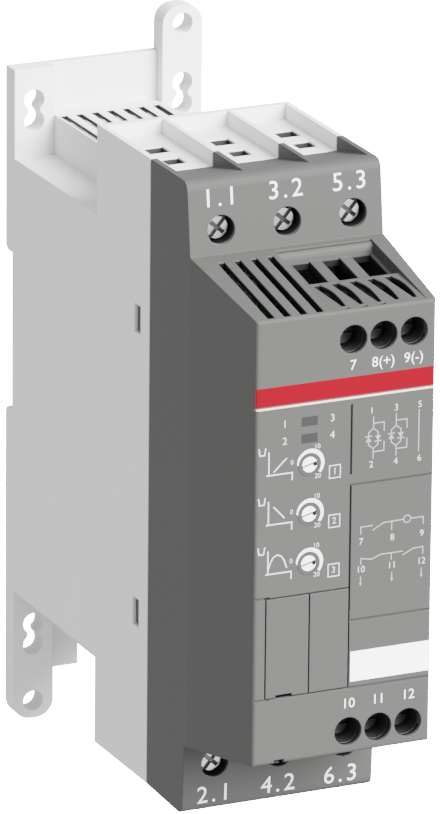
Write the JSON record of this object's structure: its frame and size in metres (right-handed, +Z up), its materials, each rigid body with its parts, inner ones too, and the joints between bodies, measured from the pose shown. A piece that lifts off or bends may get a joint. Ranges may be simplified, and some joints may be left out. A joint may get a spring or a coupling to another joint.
{
  "type": "soft starter",
  "caption": "Narrow three phase motor soft starter with a slotted rear housing, screw ears, clamp terminals, dial knobs and a rail latch.",
  "frame": {"origin": "centre of the rail seat, the floor of the notch in the rear face", "axes": "+Z up along the height, +X to the right seen from the front, +Y out of the rear towards the rail"},
  "size_m": [0.045, 0.1272, 0.162],
  "materials": {
    "light_grey_plastic": "fine moulded texture, light grey",
    "dark_grey_plastic": "fine moulded texture, dark grey",
    "black_plastic": "moulded, black",
    "white_plastic": "smooth white",
    "aluminium": "extruded",
    "plated_steel": "bright zinc plated",
    "dark_steel": "dark passivated",
    "tinned_copper": "tin plated strip",
    "circuit_board": "green coated glass fibre",
    "smoked_clear_plastic": "smoked clear"
  },
  "bodies": {
    "housing": {"rear_housing": "light_grey_plastic", "front_cover": "dark_grey_plastic", "heat_sink": "aluminium", "latch_spring": "plated_steel", "light_guide": "smoked_clear_plastic", "plug_socket": "black_plastic", "thyristor_module_1": "black_plastic", "bypass_relay_1": "black_plastic", "busbar_line_1": "tinned_copper", "busbar_load_1": "tinned_copper", "thyristor_module_3": "black_plastic", "bypass_relay_3": "black_plastic", "busbar_line_3": "tinned_copper", "busbar_load_3": "tinned_copper", "busbar_through_2": "tinned_copper", "power_board": "circuit_board", "control_board": "circuit_board", "control_block_upper": "black_plastic", "control_contact_upper_1": "tinned_copper", "control_contact_upper_2": "tinned_copper", "control_contact_upper_3": "tinned_copper", "control_block_lower": "black_plastic", "control_contact_lower_1": "tinned_copper", "control_contact_lower_2": "tinned_copper", "control_contact_lower_3": "tinned_copper", "pot_body_1": "black_plastic", "pot_body_2": "black_plastic", "pot_body_3": "black_plastic"},
    "power_screw_top_1": {"power_screw_top_1": "plated_steel"},
    "power_clamp_top_1": {"power_clamp_top_1": "plated_steel"},
    "power_screw_top_2": {"power_screw_top_2": "plated_steel"},
    "power_clamp_top_2": {"power_clamp_top_2": "plated_steel"},
    "power_screw_top_3": {"power_screw_top_3": "plated_steel"},
    "power_clamp_top_3": {"power_clamp_top_3": "plated_steel"},
    "power_screw_bottom_1": {"power_screw_bottom_1": "plated_steel"},
    "power_clamp_bottom_1": {"power_clamp_bottom_1": "plated_steel"},
    "power_screw_bottom_2": {"power_screw_bottom_2": "plated_steel"},
    "power_clamp_bottom_2": {"power_clamp_bottom_2": "plated_steel"},
    "power_screw_bottom_3": {"power_screw_bottom_3": "plated_steel"},
    "power_clamp_bottom_3": {"power_clamp_bottom_3": "plated_steel"},
    "control_screw_upper_1": {"control_screw_upper_1": "dark_steel"},
    "control_clamp_upper_1": {"control_clamp_upper_1": "plated_steel"},
    "control_screw_upper_2": {"control_screw_upper_2": "dark_steel"},
    "control_clamp_upper_2": {"control_clamp_upper_2": "plated_steel"},
    "control_screw_upper_3": {"control_screw_upper_3": "dark_steel"},
    "control_clamp_upper_3": {"control_clamp_upper_3": "plated_steel"},
    "control_screw_lower_1": {"control_screw_lower_1": "dark_steel"},
    "control_clamp_lower_1": {"control_clamp_lower_1": "plated_steel"},
    "control_screw_lower_2": {"control_screw_lower_2": "dark_steel"},
    "control_clamp_lower_2": {"control_clamp_lower_2": "plated_steel"},
    "control_screw_lower_3": {"control_screw_lower_3": "dark_steel"},
    "control_clamp_lower_3": {"control_clamp_lower_3": "plated_steel"},
    "pot_knob_1": {"pot_knob_1": "white_plastic"},
    "pot_knob_2": {"pot_knob_2": "white_plastic"},
    "pot_knob_3": {"pot_knob_3": "white_plastic"},
    "connector_cover_left": {"connector_cover_left": "dark_grey_plastic"},
    "connector_cover_right": {"connector_cover_right": "dark_grey_plastic"},
    "din_latch": {"din_latch": "light_grey_plastic"}
  },
  "joints": [
    {"name": "power_screw_top_1_turn", "type": "hinge", "parent": "housing", "child": "power_screw_top_1", "pos_m": [-0.0151, -0.08946, 0.04925], "axis": [0, 1, 0], "range_deg": [0, 3600]},
    {"name": "power_clamp_top_1_slide", "type": "slide", "parent": "housing", "child": "power_clamp_top_1", "axis": [0, -1, 0], "range_m": [0, 0.008]},
    {"name": "power_screw_top_2_turn", "type": "hinge", "parent": "housing", "child": "power_screw_top_2", "pos_m": [0.00025, -0.08946, 0.04925], "axis": [0, 1, 0], "range_deg": [0, 3600]},
    {"name": "power_clamp_top_2_slide", "type": "slide", "parent": "housing", "child": "power_clamp_top_2", "axis": [0, -1, 0], "range_m": [0, 0.008]},
    {"name": "power_screw_top_3_turn", "type": "hinge", "parent": "housing", "child": "power_screw_top_3", "pos_m": [0.0156, -0.08946, 0.04925], "axis": [0, 1, 0], "range_deg": [0, 3600]},
    {"name": "power_clamp_top_3_slide", "type": "slide", "parent": "housing", "child": "power_clamp_top_3", "axis": [0, -1, 0], "range_m": [0, 0.008]},
    {"name": "power_screw_bottom_1_turn", "type": "hinge", "parent": "housing", "child": "power_screw_bottom_1", "pos_m": [-0.0151, -0.08946, -0.0707], "axis": [0, 1, 0], "range_deg": [0, 3600]},
    {"name": "power_clamp_bottom_1_slide", "type": "slide", "parent": "housing", "child": "power_clamp_bottom_1", "axis": [0, -1, 0], "range_m": [0, 0.008]},
    {"name": "power_screw_bottom_2_turn", "type": "hinge", "parent": "housing", "child": "power_screw_bottom_2", "pos_m": [0.00025, -0.08946, -0.0707], "axis": [0, 1, 0], "range_deg": [0, 3600]},
    {"name": "power_clamp_bottom_2_slide", "type": "slide", "parent": "housing", "child": "power_clamp_bottom_2", "axis": [0, -1, 0], "range_m": [0, 0.008]},
    {"name": "power_screw_bottom_3_turn", "type": "hinge", "parent": "housing", "child": "power_screw_bottom_3", "pos_m": [0.0156, -0.08946, -0.0707], "axis": [0, 1, 0], "range_deg": [0, 3600]},
    {"name": "power_clamp_bottom_3_slide", "type": "slide", "parent": "housing", "child": "power_clamp_bottom_3", "axis": [0, -1, 0], "range_m": [0, 0.008]},
    {"name": "control_screw_upper_1_turn", "type": "hinge", "parent": "housing", "child": "control_screw_upper_1", "pos_m": [0.0016, -0.11746, 0.032], "axis": [0, 1, 0], "range_deg": [0, 1800]},
    {"name": "control_clamp_upper_1_slide", "type": "slide", "parent": "housing", "child": "control_clamp_upper_1", "axis": [0, -1, 0], "range_m": [0, 0.0025]},
    {"name": "control_screw_upper_2_turn", "type": "hinge", "parent": "housing", "child": "control_screw_upper_2", "pos_m": [0.0086, -0.11746, 0.032], "axis": [0, 1, 0], "range_deg": [0, 1800]},
    {"name": "control_clamp_upper_2_slide", "type": "slide", "parent": "housing", "child": "control_clamp_upper_2", "axis": [0, -1, 0], "range_m": [0, 0.0025]},
    {"name": "control_screw_upper_3_turn", "type": "hinge", "parent": "housing", "child": "control_screw_upper_3", "pos_m": [0.01565, -0.11746, 0.032], "axis": [0, 1, 0], "range_deg": [0, 1800]},
    {"name": "control_clamp_upper_3_slide", "type": "slide", "parent": "housing", "child": "control_clamp_upper_3", "axis": [0, -1, 0], "range_m": [0, 0.0025]},
    {"name": "control_screw_lower_1_turn", "type": "hinge", "parent": "housing", "child": "control_screw_lower_1", "pos_m": [0.0016, -0.11746, -0.0553], "axis": [0, 1, 0], "range_deg": [0, 1800]},
    {"name": "control_clamp_lower_1_slide", "type": "slide", "parent": "housing", "child": "control_clamp_lower_1", "axis": [0, -1, 0], "range_m": [0, 0.0025]},
    {"name": "control_screw_lower_2_turn", "type": "hinge", "parent": "housing", "child": "control_screw_lower_2", "pos_m": [0.0086, -0.11746, -0.0553], "axis": [0, 1, 0], "range_deg": [0, 1800]},
    {"name": "control_clamp_lower_2_slide", "type": "slide", "parent": "housing", "child": "control_clamp_lower_2", "axis": [0, -1, 0], "range_m": [0, 0.0025]},
    {"name": "control_screw_lower_3_turn", "type": "hinge", "parent": "housing", "child": "control_screw_lower_3", "pos_m": [0.01565, -0.11746, -0.0553], "axis": [0, 1, 0], "range_deg": [0, 1800]},
    {"name": "control_clamp_lower_3_slide", "type": "slide", "parent": "housing", "child": "control_clamp_lower_3", "axis": [0, -1, 0], "range_m": [0, 0.0025]},
    {"name": "pot_knob_1_turn", "type": "hinge", "parent": "housing", "child": "pot_knob_1", "pos_m": [-0.00815, -0.12146, 0.0057], "axis": [0, 1, 0], "range_deg": [-180, 65]},
    {"name": "pot_knob_2_turn", "type": "hinge", "parent": "housing", "child": "pot_knob_2", "pos_m": [-0.00815, -0.12146, -0.00525], "axis": [0, 1, 0], "range_deg": [-180, 65]},
    {"name": "pot_knob_3_turn", "type": "hinge", "parent": "housing", "child": "pot_knob_3", "pos_m": [-0.00815, -0.12146, -0.0162], "axis": [0, 1, 0], "range_deg": [-180, 65]},
    {"name": "connector_cover_left_pull", "type": "slide", "parent": "housing", "child": "connector_cover_left", "axis": [0, -1, 0], "range_m": [0, 0.008]},
    {"name": "connector_cover_right_pull", "type": "slide", "parent": "housing", "child": "connector_cover_right", "axis": [0, -1, 0], "range_m": [0, 0.008]},
    {"name": "din_latch_slide", "type": "slide", "parent": "housing", "child": "din_latch", "axis": [0, 0, -1], "range_m": [0, 0.003], "stiffness_N_per_m": 1500, "deforming": ["latch_spring"]}
  ],
  "couplings": [
    {"joint": "power_screw_top_1_turn", "follows": "power_clamp_top_1_slide", "rad_per_m": 7854},
    {"joint": "power_screw_top_2_turn", "follows": "power_clamp_top_2_slide", "rad_per_m": 7854},
    {"joint": "power_screw_top_3_turn", "follows": "power_clamp_top_3_slide", "rad_per_m": 7854},
    {"joint": "power_screw_bottom_1_turn", "follows": "power_clamp_bottom_1_slide", "rad_per_m": 7854},
    {"joint": "power_screw_bottom_2_turn", "follows": "power_clamp_bottom_2_slide", "rad_per_m": 7854},
    {"joint": "power_screw_bottom_3_turn", "follows": "power_clamp_bottom_3_slide", "rad_per_m": 7854},
    {"joint": "control_screw_upper_1_turn", "follows": "control_clamp_upper_1_slide", "rad_per_m": 12566},
    {"joint": "control_screw_upper_2_turn", "follows": "control_clamp_upper_2_slide", "rad_per_m": 12566},
    {"joint": "control_screw_upper_3_turn", "follows": "control_clamp_upper_3_slide", "rad_per_m": 12566},
    {"joint": "control_screw_lower_1_turn", "follows": "control_clamp_lower_1_slide", "rad_per_m": 12566},
    {"joint": "control_screw_lower_2_turn", "follows": "control_clamp_lower_2_slide", "rad_per_m": 12566},
    {"joint": "control_screw_lower_3_turn", "follows": "control_clamp_lower_3_slide", "rad_per_m": 12566}
  ]
}
